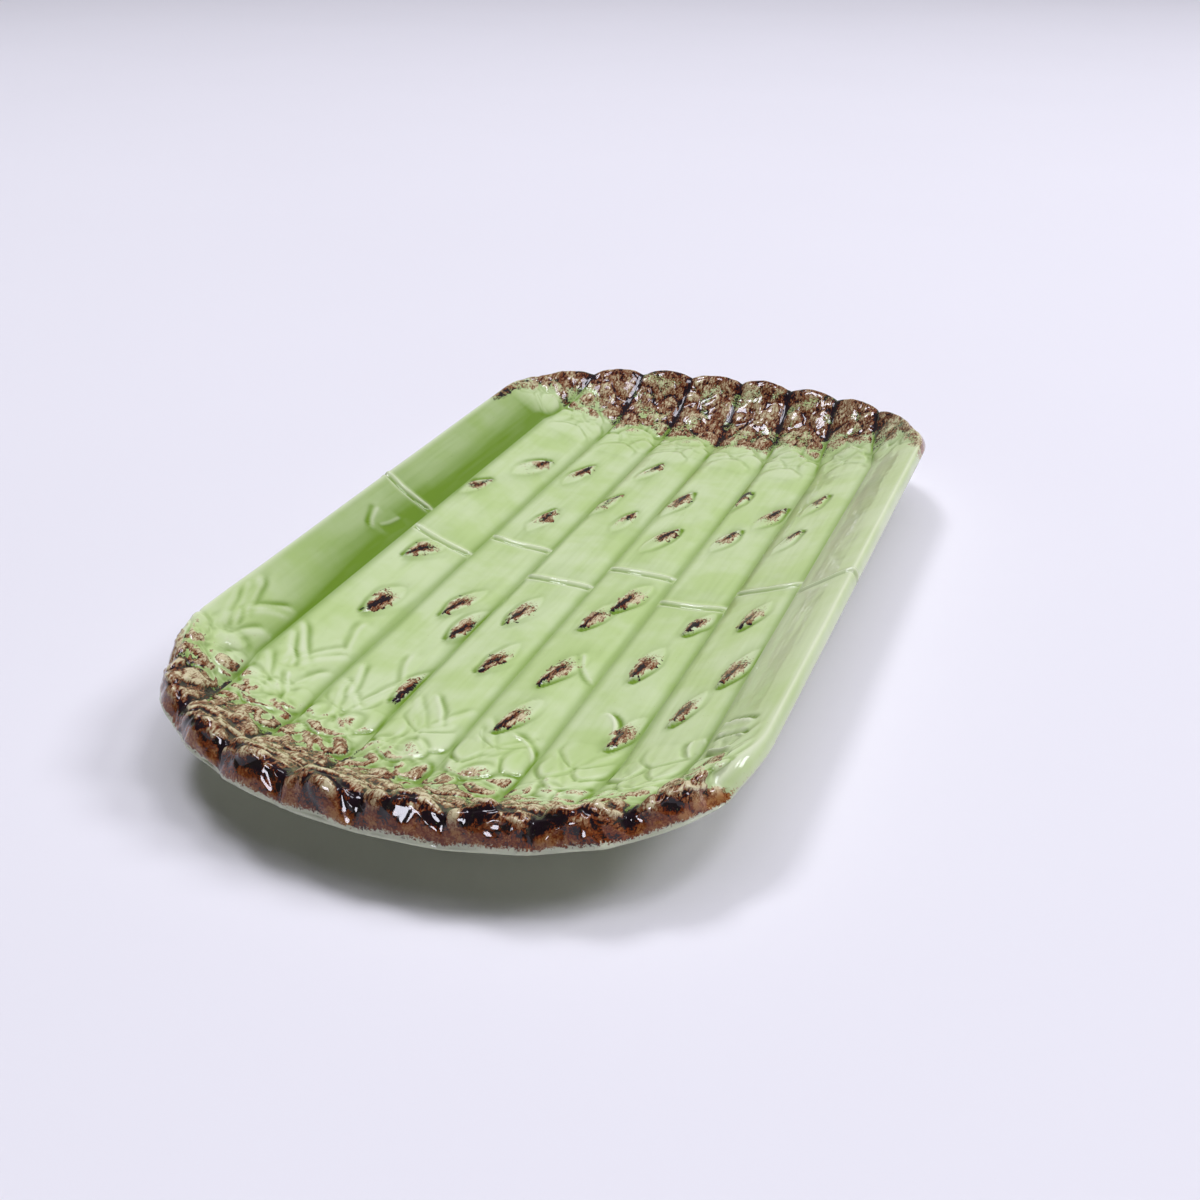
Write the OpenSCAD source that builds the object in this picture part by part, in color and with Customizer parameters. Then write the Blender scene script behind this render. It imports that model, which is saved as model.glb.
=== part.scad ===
// Long serving dish moulded as a raft of asparagus spears.
// X runs across the dish, Y runs along it to the far end and Z is up.
// The origin is on the table, under the middle of the dish.
// Each column of the raft is a near spear and a far spear, laid cut end to cut end.
// Their tips climb the two bowed end walls and roll over the rim.

/* [Dish] */
// Length of the dish over its rolled tips
dish_l = 376; // [330:1:430]
// Width of the dish over its long rims
dish_w = 198; // [170:1:230]
// Height of the long rims above the middle of the floor
dish_depth = 25; // [18:0.5:32]
// Length of each bowed end, from the straight rim to the tips
bow_l = 70; // [56:1:84]
// Roundness of the bow, where 2 is an ellipse and more is squarer
bow_power = 2.2; // [2:0.1:2.6]
// Thickness of the clay in the middle of the floor
floor_t = 5; // [4:0.25:7]
// Thickness of the clay at the long rims
rim_t = 5; // [4:0.25:7]
// How far the outer edge of the long rims is rounded down
rim_round = 1.2; // [0.5:0.1:2]

/* [Spears] */
// Height of a stalk's rounded back above its grooves
stalk_crown = 1.8; // [0.8:0.1:3]
// Height of a tip's rounded back above its grooves
tip_crown = 2.6; // [1.5:0.1:4]
// How far the cut ends stand before or behind the middle
seam_stagger = 10; // [0:0.5:20]
// Depth of the groove between two cut ends
seam_depth = 1; // [0.3:0.1:1.5]
// Half of the width of that groove
seam_half_w = 2; // [1:0.1:3]
// Height of the raised lip on a far spear's cut end
seam_lip = 0.5; // [0:0.1:1]

/* [Tips] */
// How far each tip bulges past the notches beside it
scallop = 1.5; // [0.5:0.1:3]
// How far the rolled edge stands out from its crest
roll_out = 5; // [3:0.1:6]
// How far the rolled edge hangs down from its crest
roll_drop = 12; // [8:0.1:14]
// Distance from one row of overlapping bracts to the next, before it is fitted to the tip
bract_pitch = 9; // [8:0.5:12]
// Height of a bract's free edge above the next bract
bract_step = 1.5; // [0.5:0.1:2]
// How far a bract's point reaches past its sides
bract_point = 5.5; // [3:0.5:6]

/* [Foot] */
// Height of the foot ring
foot_h = 6; // [4.5:0.25:9]
// Width of the foot ring's flat face
foot_w = 7; // [4:0.5:10]
// Width of the dish over its foot ring
foot_over_w = 104; // [80:1:120]
// How far the flat underside reaches past the foot ring
foot_margin = 2; // [1:0.5:5]

/* [Hidden] */
// Edges of the eight columns, as shares of half of the width
column_shares = [-1, -0.783, -0.536, -0.274, 0, 0.274, 0.536, 0.783, 1];
columns = len(column_shares) - 1;
// Place of each column's cut ends, as shares of the stagger
seam_shares = [0.4, -1, 0.9, -1.4, 0.4, -1.5, -0.2, -1];
// How far out the floor stays flat, as a share of the way to the rim
flat_share = 0.35;
// How steeply the wall climbs from there
wall_power = 1.9;
// How narrow the tips are at the rim, as a share of their width at the floor
tip_taper_share = 0.94;
// Section of the rolled edge, as shares of how far it stands out and hangs down
roll_top_shares = [[0, 0], [0.5, 0.05], [0.85, 0.24], [1, 0.58], [0.9, 0.88]];
roll_under_shares = [0, 0.15, 0.35, 0.55, 0.7];
// How square the back of a spear is, where 2 is an arc
crown_power = 2.6;
// Shares of a bract row where its free edge ends and the next bract starts
bract_edge_shares = [0.88, 0.99];
// Height of the bracts at the start of a tip, as a share of their full height
bract_start_share = 0.35;
// How far along a tip they are full height, as a share of it
bract_grown_share = 0.3;
// Flats across one spear, and points round one end of the foot
across = 8;
foot_points = 32;

half_l = dish_l / 2;
half_w = dish_w / 2;
straight_half_l = half_l - bow_l;
notch_bow_l = bow_l - scallop;
floor_z = foot_h + floor_t;
rim_z = floor_z + dish_depth;
rim_under_z = rim_z - rim_t;
under_flat_share = (foot_over_w / 2 + foot_margin) / half_w;
seam_y = [for (share = seam_shares) share * seam_stagger];

// Share of the way from the middle of the dish to its rim
function way_out(p) =
    let (bow = max(0, abs(p.y) - straight_half_l) / notch_bow_l)
    pow(pow(abs(p.x) / half_w, bow_power) + pow(bow, bow_power), 1 / bow_power);

// Height of the grooves between the spears, and of the underside, which leaves the wall its thickness
function groove_z(p) =
    floor_z + dish_depth * pow(max(0, way_out(p) - flat_share) / (1 - flat_share), wall_power);
function under_line_z(p) =
    foot_h + (rim_under_z - foot_h) * max(0, way_out(p) - under_flat_share) / (1 - under_flat_share);
function under_z(p) = min(under_line_z(p), groove_z(p) - min(floor_t, rim_t));

// Place of a line across the column, where u runs from its left edge to its right edge
function line_share(k, u) = column_shares[k - 1] + u * (column_shares[k] - column_shares[k - 1]);
function line_x(k, u) = half_w * line_share(k, u);

// Rounded back of a spear: 1 on its middle and 0 in its grooves
function crown(u) = 1 - pow(abs(2 * u - 1), crown_power);

// Share by which a line belongs to the rim: 1 on the outer edge of the outer columns
function rim_share(k, u) =
    let (wall = column_shares[columns - 1])
    max(0, abs(line_share(k, u)) - wall) / (1 - wall);
function on_rim(k, u) = rim_share(k, u) > 0.99 ? 1 : 0;

// Point of the bowed rim at a given x, and the direction straight out from it
function rim_point(x) =
    [x, straight_half_l + notch_bow_l * pow(1 - pow(abs(x) / half_w, bow_power), 1 / bow_power)];
function rim_out(p) =
    let (
        gx = sign(p.x) * pow(abs(p.x) / half_w, bow_power - 1) / half_w,
        gy = pow((p.y - straight_half_l) / notch_bow_l, bow_power - 1) / notch_bow_l
    )
    [gx, gy] / norm([gx, gy]);

// Faces of a closed slab from a grid of points on its top and one on its underside
function slab_faces(rows, cols) =
    let (
        under = (rows + 1) * (cols + 1),
        t = function (j, i) j * (cols + 1) + i,
        b = function (j, i) under + j * (cols + 1) + i,
        quads = concat(
            [for (j = [0 : rows - 1], i = [0 : cols - 1]) [t(j, i), t(j + 1, i), t(j + 1, i + 1), t(j, i + 1)]],
            [for (j = [0 : rows - 1], i = [0 : cols - 1]) [b(j, i), b(j, i + 1), b(j + 1, i + 1), b(j + 1, i)]],
            [for (j = [0 : rows - 1]) [b(j, 0), b(j + 1, 0), t(j + 1, 0), t(j, 0)]],
            [for (j = [0 : rows - 1]) [t(j, cols), t(j + 1, cols), b(j + 1, cols), b(j, cols)]],
            [for (i = [0 : cols - 1]) [b(0, i), t(0, i), t(0, i + 1), b(0, i + 1)]],
            [for (i = [0 : cols - 1]) [b(rows, i), b(rows, i + 1), t(rows, i + 1), t(rows, i)]]
        )
    )
    [for (q = quads, half = [[0, 1, 2], [0, 2, 3]]) [for (c = half) q[c]]];

module slab(top, under) {
    rows = len(top) - 1;
    cols = len(top[0]) - 1;
    polyhedron(
        points = concat([for (row = top, p = row) p], [for (row = under, p = row) p]),
        faces = slab_faces(rows, cols)
    );
}

// Stalk of column k between two places along the dish, from a list of [y, height of its back]
module stalk(k, stations) {
    top = [for (s = stations) [for (i = [0 : across])
        let (u = i / across, p = [line_x(k, u), s[0]])
        [p.x, p.y, groove_z(p) + s[1] * crown(u) - rim_round * on_rim(k, u)]
    ]];
    under = [for (s = stations) [for (i = [0 : across])
        let (u = i / across, p = [line_x(k, u), s[0]])
        [p.x - sign(p.x) * rim_round * on_rim(k, u), p.y, under_z(p)]
    ]];
    slab(top, under);
}

// Plan of a tip: s runs from 0 on the floor to 1 on the crest of the rolled edge
function tip_end(k, u) = rim_point(tip_taper_share * line_x(k, u));
// How far along the bow a tip ends: 1 in the middle of the end and less at its corners
function end_share(k, u) = (tip_end(k, u).y - straight_half_l) / notch_bow_l;
function tip_bulge(k, u) = scallop * crown(u) * rim_out(tip_end(k, u));
function tip_plan(k, u, s) =
    let (
        start = [line_x(k, u), straight_half_l],
        crest = tip_end(k, u) + tip_bulge(k, u) - roll_out * rim_out(tip_end(k, u)),
        p = start + s * (crest - start),
        pull = rim_share(k, u) == 0 ? 0 : rim_share(k, u) * (1 - pow(s, 4)) * (1 / way_out(p) - 1)
    )
    [p.x * (1 + pull), straight_half_l + (p.y - straight_half_l) * (1 + pull)];

// Rows of bracts on a tip: one bract in the middle of a row, then two side by side in the next
function tip_l(k) = end_share(k, 1 / 2) * notch_bow_l - roll_out;
function bract_rows(k) = round(tip_l(k) / bract_pitch);
function bract(u, row) = pow(sin(180 * u * (1 + row % 2)), 2);
function bract_h(s) =
    bract_step * min(1, bract_start_share + (1 - bract_start_share) * s / bract_grown_share);

// Rows of a tip's back as [s, share of a bract's height, share of its point, number of its row]
function tip_rows(k) = concat(
    [[0, 0, 0, 0]],
    [for (row = [0 : bract_rows(k) - 1], edge = [0, 1])
        [(row + bract_edge_shares[edge]) / bract_rows(k), 1 - edge, row == bract_rows(k) - 1 ? 0 : 1, row]
    ]
);

// Tip of column k at the far end, ending in the rolled edge
module tip(k) {
    function back(u, s) = stalk_crown + s * (tip_crown - stalk_crown);
    function row_s(row, u) = row[0] - row[2] * (1 - bract(u, row[3])) * bract_point / tip_l(k);
    function crest_z(u) = groove_z(tip_plan(k, u, 1)) + tip_crown * crown(u);
    function roll_z(u) = groove_z(tip_plan(k, u, 1)) - rim_t - (roll_drop - rim_t) * pow(end_share(k, u), 2);
    climb_top = [for (row = tip_rows(k)) [for (i = [0 : across])
        let (u = i / across, s = row_s(row, u), p = tip_plan(k, u, s))
        [p.x, p.y, groove_z(p) + back(u, s) * crown(u) + row[1] * bract_h(s) * bract(u, row[3])
            - rim_round * on_rim(k, u) * (1 - s)]
    ]];
    climb_under = [for (row = tip_rows(k)) [for (i = [0 : across])
        let (u = i / across, p = tip_plan(k, u, row[0]))
        [p.x, p.y, under_z(p) - pow(row[0], 2) * max(0, under_z(p) - roll_z(u))]
    ]];
    roll_top = [for (share = roll_top_shares) [for (i = [0 : across])
        let (u = i / across, p = tip_plan(k, u, 1) + share[0] * roll_out * rim_out(tip_end(k, u)))
        [p.x, p.y, crest_z(u) + share[1] * (roll_z(u) - crest_z(u))]
    ]];
    roll_under = [for (share = roll_under_shares) [for (i = [0 : across])
        let (u = i / across, p = tip_plan(k, u, 1) + share * roll_out * rim_out(tip_end(k, u)))
        [p.x, p.y, roll_z(u)]
    ]];
    slab(concat(climb_top, roll_top), concat(climb_under, roll_under));
}

module near_stalk(k) {
    color("#b9cf98")
        stalk(k, [
            [-straight_half_l, stalk_crown],
            [seam_y[k - 1] - seam_half_w, stalk_crown],
            [seam_y[k - 1], stalk_crown - seam_depth]
        ]);
}

module far_stalk(k) {
    color("#c3d7a6")
        stalk(k, [
            [seam_y[k - 1], stalk_crown - seam_depth],
            [seam_y[k - 1] + seam_half_w, stalk_crown + seam_lip],
            [seam_y[k - 1] + 3 * seam_half_w, stalk_crown],
            [straight_half_l, stalk_crown]
        ]);
}

module near_tip(k) {
    color("#4a2a17") mirror([0, 1, 0]) tip(k);
}

module far_tip(k) {
    color("#6b4630") tip(k);
}

// Outline of the foot, drawn in from the dish's own outline
module foot_outline(over_w) {
    inset = half_w - over_w / 2;
    reach = notch_bow_l * foot_over_w / dish_w - (foot_over_w - over_w) / 2;
    polygon([for (end = [1, -1], n = [0 : foot_points])
        let (angle = 180 * n / foot_points)
        end * [
            (half_w - inset) * sign(cos(angle)) * pow(abs(cos(angle)), 2 / bow_power),
            straight_half_l + reach * pow(sin(angle), 2 / bow_power)
        ]
    ]);
}

// Ring that the dish stands on
module foot_ring() {
    color("#dfe0cf")
        linear_extrude(foot_h)
            difference() {
                foot_outline(foot_over_w);
                foot_outline(foot_over_w - 2 * foot_w);
            }
}

foot_ring();
for (k = [1 : columns]) {
    near_stalk(k);
    far_stalk(k);
    near_tip(k);
    far_tip(k);
}
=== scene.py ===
"""Looks of a long serving dish moulded as a raft of asparagus spears.

Glazed earthenware: every stalk and tip of the moulding is one closed shell of clay with its relief,
and colour pools in the relief as a majolica glaze does.
"""

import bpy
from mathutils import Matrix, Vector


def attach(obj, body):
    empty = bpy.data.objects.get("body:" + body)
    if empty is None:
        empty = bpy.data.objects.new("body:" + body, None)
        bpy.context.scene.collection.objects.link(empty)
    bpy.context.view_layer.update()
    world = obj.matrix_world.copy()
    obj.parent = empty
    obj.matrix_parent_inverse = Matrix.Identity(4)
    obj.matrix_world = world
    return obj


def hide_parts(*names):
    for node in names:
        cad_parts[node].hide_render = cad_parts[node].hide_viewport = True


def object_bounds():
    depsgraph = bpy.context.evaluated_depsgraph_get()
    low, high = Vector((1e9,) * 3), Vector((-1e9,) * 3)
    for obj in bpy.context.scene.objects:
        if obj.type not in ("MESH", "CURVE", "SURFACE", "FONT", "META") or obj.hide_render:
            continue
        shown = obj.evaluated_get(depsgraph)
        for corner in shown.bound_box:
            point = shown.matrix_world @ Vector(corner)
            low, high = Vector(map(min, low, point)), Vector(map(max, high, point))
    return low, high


bl_info = {
    "name": "Asparagus dish",
    "version": (1, 0, 0),
    "blender": (4, 5, 0),
    "location": "View3D > Sidebar > Asparagus dish",
    "description": "Models the glazed relief of a serving dish over its packed frame",
    "category": "Object",
}

import math

import bmesh
import bpy
import numpy as np
from bpy.props import FloatProperty, FloatVectorProperty, IntProperty, PointerProperty
from mathutils import Matrix, Vector

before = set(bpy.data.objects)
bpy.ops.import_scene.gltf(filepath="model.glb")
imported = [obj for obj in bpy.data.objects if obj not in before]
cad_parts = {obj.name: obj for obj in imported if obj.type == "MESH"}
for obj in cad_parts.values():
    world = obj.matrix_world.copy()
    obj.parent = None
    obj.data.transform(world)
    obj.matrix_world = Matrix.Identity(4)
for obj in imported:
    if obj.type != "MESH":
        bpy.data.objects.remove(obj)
CAD_BOX = [[float(c) for c in corner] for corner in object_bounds()]

MM = 0.001
COLUMNS = 8
HALF_WIDTH_MM = 99
# Edges of the columns as shares of half of the width, and places of their cut ends
COLUMN_SHARES = (-1, -0.783, -0.536, -0.274, 0, 0.274, 0.536, 0.783, 1)
SEAM_MM = (4, -10, 9, -14, 4, -15, -2, -10)
BOW_POWER = 2.2
FLAT_SHARE = 0.35
WALL_POWER = 1.9
TIP_TAPER = 0.94
CROWN_POWER = 2.6
STRAIGHT_MM = 118
BOW_MM = 68.5
SCALLOP_MM = 1.5
ROLL_OUT_MM = 5
ROLL_DROP_MM = 12
CLAY_MM = 5
FOOT_MM = 6
FLOOR_MM = 11
DEPTH_MM = 25
UNDER_FLAT_SHARE = 54 / HALF_WIDTH_MM
# Angle that a rolled edge turns through, from its crest to its underside
ROLL_TURN = math.radians(135)
ROLL_REACH = math.sin(ROLL_TURN)
# How far down a rolled edge its outer face leans outwards
ROLL_LEAN = 0.8
# Length of a rolled edge's steep outer face
ROLL_LENGTH_MM = 14
# Radius of the rounded edge on the straight rims
RIM_R_MM = 2.5
# Share of an edge that stays free at the corner of a wall
CORNER_GAP = 0.09
# Depth on a rolled edge at which the top of a piece ends and its underside starts
LAST_DEPTH = 0.97
# Distance between the rows of the mesh beside a cut end, and their number
SEAM_ROW_MM = 0.35
SEAM_ROWS = 10
# Distance that nothing reaches over
FAR_AWAY_MM = 99.0
# Width of the hollow and of the raised lip at a cut end, and the lip's distance from it
CUT_WIDTH_MM = 0.9
LIP_MM = 1.9
# Flats of the mesh round the straight rims, and over the rolled edges
WALL_FLATS = 12
ROLL_ROWS = 34
# Radius of the wiped lower edges of the foot ring
FOOT_ROUND_MM = 1.6


def linear(hex_colour):
    """Linear colour of an sRGB hex value."""
    parts = [int(hex_colour[i:i + 2], 16) / 255 for i in (1, 3, 5)]
    return [c / 12.92 if c <= 0.04045 else ((c + 0.055) / 1.055) ** 2.4 for c in parts] + [1.0]


def smooth(x, low=0.0, high=1.0):
    """0 below low, 1 above high and a smooth step between them."""
    t = np.clip((x - low) / (high - low), 0, 1)
    return t * t * (3 - 2 * t)


def bell(x, width):
    """1 at 0, and falling to 0 on both sides."""
    return np.exp(-(x / width) ** 2)


def lattice_noise(x, y, seed):
    """Smooth noise from -1 to 1, about one bump to a unit."""
    table = np.random.default_rng(seed).uniform(-1, 1, (128, 128))
    xi, yi = np.floor(x).astype(int), np.floor(y).astype(int)
    fx, fy = smooth(x - xi), smooth(y - yi)
    rows = [[table[(xi + dx) % 128, (yi + dy) % 128] for dx in (0, 1)] for dy in (0, 1)]
    low, high = [a + (b - a) * fx for a, b in rows]
    return low + (high - low) * fy


def noise(x, y, size, seed, octaves=2):
    """Sum of lattice noises, the first with bumps of the given size."""
    total = 0
    for n in range(octaves):
        turn = 0.6 + 1.1 * n
        px, py = x * math.cos(turn) - y * math.sin(turn), x * math.sin(turn) + y * math.cos(turn)
        bumps = lattice_noise(px / size * 2 ** n + 31.7 * n, py / size * 2 ** n - 17.3 * n, seed + n)
        total = total + bumps / 2 ** n
    return total


# Form of the dish, in millimetres, x outwards from the middle and y towards one end


def way_out(x, y):
    """Share of the way from the middle of the dish to its rim."""
    bow = np.maximum(0, y - STRAIGHT_MM) / BOW_MM
    return ((np.abs(x) / HALF_WIDTH_MM) ** BOW_POWER + bow ** BOW_POWER) ** (1 / BOW_POWER)


def groove_z(way):
    """Height of the grooves between the spears."""
    return FLOOR_MM + DEPTH_MM * (np.maximum(0, way - FLAT_SHARE) / (1 - FLAT_SHARE)) ** WALL_POWER


def under_z(way):
    """Height of the underside, which leaves the clay its thickness."""
    line = FOOT_MM + (DEPTH_MM + FLOOR_MM - CLAY_MM - FOOT_MM) \
        * np.maximum(0, way - UNDER_FLAT_SHARE) / (1 - UNDER_FLAT_SHARE)
    return np.minimum(line, groove_z(way) - CLAY_MM)


def crown(u):
    """Section of a spear's back, from 0 in the grooves to 1 in the middle."""
    return 1 - np.abs(2 * u - 1) ** CROWN_POWER


def lobe(u, peaked):
    """Section of the lobes of the rolled edge, which meet in soft notches."""
    return (1 - peaked) * crown(u) + peaked * np.sin(np.pi * u) ** 2


def rim_y(x):
    """Place along the dish of the bowed rim."""
    return STRAIGHT_MM + BOW_MM * (1 - (x / HALF_WIDTH_MM) ** BOW_POWER) ** (1 / BOW_POWER)


def rim_x(y):
    """Place across the dish of the bowed rim."""
    return HALF_WIDTH_MM * (1 - ((y - STRAIGHT_MM) / BOW_MM) ** BOW_POWER) ** (1 / BOW_POWER)


def rim_normal(x, y):
    """Way out of the dish in plan, at a place on the bowed rim."""
    gx = (np.maximum(x, 1e-6) / HALF_WIDTH_MM) ** (BOW_POWER - 1) / HALF_WIDTH_MM
    gy = ((y - STRAIGHT_MM) / BOW_MM) ** (BOW_POWER - 1) / BOW_MM
    return np.stack([gx, gy], -1) / np.hypot(gx, gy)[..., None]


def mix(a, b, t):
    """Value between a and b, at the share t of the way."""
    return a + (b - a) * t


class Edge:
    """Crest of the rim along a spear: where it runs, which way is out and how the clay rolls over it."""

    def __init__(self, rim, bulge, inset, level_inset, lift):
        n = rim_normal(rim[..., 0], rim[..., 1])
        self.out = n
        self.inset = inset
        self.crest = rim + n * (bulge - inset)[..., None]
        self.foot = rim + n * (bulge - inset * (1 - ROLL_REACH))[..., None]
        self.level = rim + n * (bulge - level_inset)[..., None]
        ground = groove_z(way_out(self.level[..., 0], self.level[..., 1]))
        share = (rim[..., 1] - STRAIGHT_MM) / BOW_MM
        self.crest_z = ground + lift
        self.under = ground - CLAY_MM - (ROLL_DROP_MM - CLAY_MM) * share ** 2


class Column:
    """Plan of one column at one end, drawn on the side where x is positive."""

    def __init__(self, column, end, crown_mm, tip_crown_mm):
        self.number = column
        self.end = end
        self.far = end > 0
        self.mirror = column <= COLUMNS // 2
        self.flip = -1 if self.mirror else 1
        place = COLUMNS + 1 - column if self.mirror else column
        self.a = HALF_WIDTH_MM * COLUMN_SHARES[place - 1]
        self.b = HALF_WIDTH_MM * COLUMN_SHARES[place]
        self.outer = place == COLUMNS
        self.seam = end * SEAM_MM[column - 1]
        self.crown_mm, self.tip_crown_mm = crown_mm, tip_crown_mm
        self.peaked = 0.0 if self.far else 0.6
        self.brown_mm = (FAR_BROWN_MM if self.far else NEAR_BROWN_MM)[column - 1]
        self.corner_y = rim_y(TIP_TAPER * self.b) if self.outer else None

    def end_edge(self, u):
        x = TIP_TAPER * mix(self.a, self.b, u)
        # The far lobes are full and shallow, and the near ones meet in soft notches
        arch = 0.7 * np.sin(np.pi * u) ** 0.9 if self.far else np.sin(np.pi * u) ** 2
        inset = np.full_like(u, ROLL_OUT_MM)
        lift = self.tip_crown_mm * lobe(u, self.peaked)
        return Edge(np.stack([x, rim_y(x)], -1), SCALLOP_MM * arch, inset, inset, lift)

    def side_edge(self, s):
        y = mix(STRAIGHT_MM, self.corner_y, s)
        return Edge(np.stack([rim_x(y), y], -1), np.zeros_like(s), mix(RIM_R_MM, ROLL_OUT_MM, smooth(s)),
                    ROLL_OUT_MM * s ** 4, np.zeros_like(s))

    def patch(self, u, s, which):
        """Plan point of a tip, where which names the line of the edges that it reaches to."""
        def end(v):
            return getattr(self.end_edge(v), which)

        one, none = np.ones_like(u), np.zeros_like(u)
        first = np.stack([np.full_like(u, self.a), np.full_like(u, STRAIGHT_MM)], -1)
        if self.outer:
            side = getattr(self.side_edge(s), which)
            side_start = getattr(self.side_edge(none), which)
        else:
            side_start = np.stack([np.full_like(u, self.b), np.full_like(u, STRAIGHT_MM)], -1)
            side = mix(side_start, end(one), s[..., None])
        u, s = u[..., None], s[..., None]
        e0 = mix(first, end(none), s)
        across = mix(mix(first, side_start, u), end(u[..., 0]), s)
        corners = mix(mix(first, side_start, u), mix(end(none), end(one), u), s)
        return across + mix(e0, side, u) - corners


def roll_point(edge, depth):
    """Point on a rolled edge at a depth from 0 on the crest to 1 on its underside."""
    turn = np.pi / 2 * np.clip(depth / ROLL_LEAN, 0, 1)
    tuck = np.clip((depth - ROLL_LEAN) / (1 - ROLL_LEAN), 0, 1)
    reach = np.sin(turn) ** 1.1 * (1 - (1 - ROLL_REACH) * tuck ** 2)
    plan = edge.crest + edge.out * (edge.inset * reach)[..., None]
    fall = 0.88 * (1 - np.cos(turn) ** 1.6) + 0.12 * np.sin(np.pi / 2 * tuck)
    return np.dstack([plan, mix(edge.crest_z, edge.under, fall)[..., None]])


def pick(edge, other, choose):
    """Edge that is one edge where choose is true and the other elsewhere."""
    made = Edge.__new__(Edge)
    for name, value in vars(edge).items():
        where = choose[..., None] if value.ndim > choose.ndim else choose
        setattr(made, name, np.where(where, value, getattr(other, name)))
    return made


def spear_base(col, grid):
    """Smooth form of a spear: points of its top and its underside, and where each lies on the spear."""
    nu, wraps, stalk_rows, tip_rows, roll_rows = grid
    wraps = wraps if col.outer else 0
    i = np.arange(nu + wraps + 1)
    lead = np.arange(SEAM_ROWS) * SEAM_ROW_MM
    run = STRAIGHT_MM - col.seam - lead[-1]
    even = col.seam + lead[-1] + run * np.arange(stalk_rows + 1) / stalk_rows
    stalk_y = np.concatenate([col.seam + lead[:-1], even])
    split = len(stalk_y) - 1
    rows = split + tip_rows + roll_rows + 1
    jj, ii = np.meshgrid(np.arange(rows), i, indexing="ij")
    u = np.minimum(ii / nu, 1.0)
    a = np.clip((ii - nu) / max(wraps, 1), 0, 1) * LAST_DEPTH
    s = np.clip((jj - split) / tip_rows, 0, 1)
    b = np.clip((jj - split - tip_rows) / roll_rows, 0, 1) * LAST_DEPTH
    stalk = jj <= split
    y_stalk = np.where(stalk, stalk_y[np.minimum(jj, split)], STRAIGHT_MM)

    def laid(right, across, up, which):
        straight = np.stack([mix(col.a, right, across), y_stalk], -1)
        return np.where(stalk[..., None], straight, col.patch(across, up, which))

    straight_rim = col.b - RIM_R_MM if col.outer else col.b
    plan = laid(straight_rim, u, s, "crest")
    level = laid(col.b, u, s, "level")
    ground = groove_z(way_out(level[..., 0], level[..., 1]))
    back = mix(col.crown_mm, col.tip_crown_mm, s) * mix(crown(u), lobe(u, col.peaked), smooth(s, 0.6, 1))
    top = np.dstack([plan, (ground + back)[..., None]])

    depth = np.maximum(a, b)
    if wraps:
        # The side and the end part at the corner, so that they don't fold over each other
        side = col.side_edge(np.clip(s - CORNER_GAP * (a - b).clip(0) * s ** 8, 0, 1))
        ended = col.end_edge(np.clip(u - CORNER_GAP * (b - a).clip(0) * u ** 8, 0, 1))
        edge = pick(side, ended, a > b)
        rolled = roll_point(edge, depth)
        on_stalk = stalk & (a > 0)
        rolled[..., 1] = np.where(on_stalk, y_stalk, rolled[..., 1])
    else:
        rolled = roll_point(col.end_edge(u), depth)
    top = np.where((depth > 0)[..., None], rolled, top)

    uu = ii / i[-1]
    ss = np.where(stalk, 0.0, (jj - split) / (tip_rows + roll_rows))
    below = laid(col.b - RIM_R_MM * (1 - ROLL_REACH) if col.outer else col.b, uu, ss, "foot")
    flat = under_z(way_out(below[..., 0], below[..., 1]))
    w_end = ss ** 2
    w_side = uu ** 6 if wraps else np.zeros_like(uu)
    low = col.end_edge(uu).under
    if wraps:
        low = (low * w_end + col.side_edge(ss).under * w_side) / np.maximum(w_end + w_side, 1e-9)
    weight = 1 - (1 - w_end) * (1 - w_side)
    under = np.dstack([below, mix(flat, low, weight)[..., None]])

    # Lengths on the spear itself, where the relief is drawn
    start = np.stack([mix(col.a, straight_rim, u), np.full_like(u, STRAIGHT_MM)], -1)
    length = np.linalg.norm(col.end_edge(u).crest - start, axis=-1)
    along = np.where(stalk, y_stalk - STRAIGHT_MM, s * length + b * (ROLL_TURN * ROLL_OUT_MM * 1.35))
    left, right = [col.end_edge(np.full_like(u, v)).crest for v in (0.0, 1.0)]
    width = mix(straight_rim - col.a, np.linalg.norm(right - left, axis=-1), s)
    across = (u - 0.5) * width + a * ROLL_TURN * RIM_R_MM * 1.4
    start = np.array([(col.a + straight_rim) / 2, STRAIGHT_MM])
    tip_length = float(np.linalg.norm(col.end_edge(np.full((1, 1), 0.5)).crest - start))
    seam = np.where(stalk, y_stalk - col.seam, FAR_AWAY_MM)
    return dict(top=top, under=under, u=u, s=s, depth=depth, along=along, across=across, width=width,
                split=split, tip_length=tip_length, seam=seam)


# Relief


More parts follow.
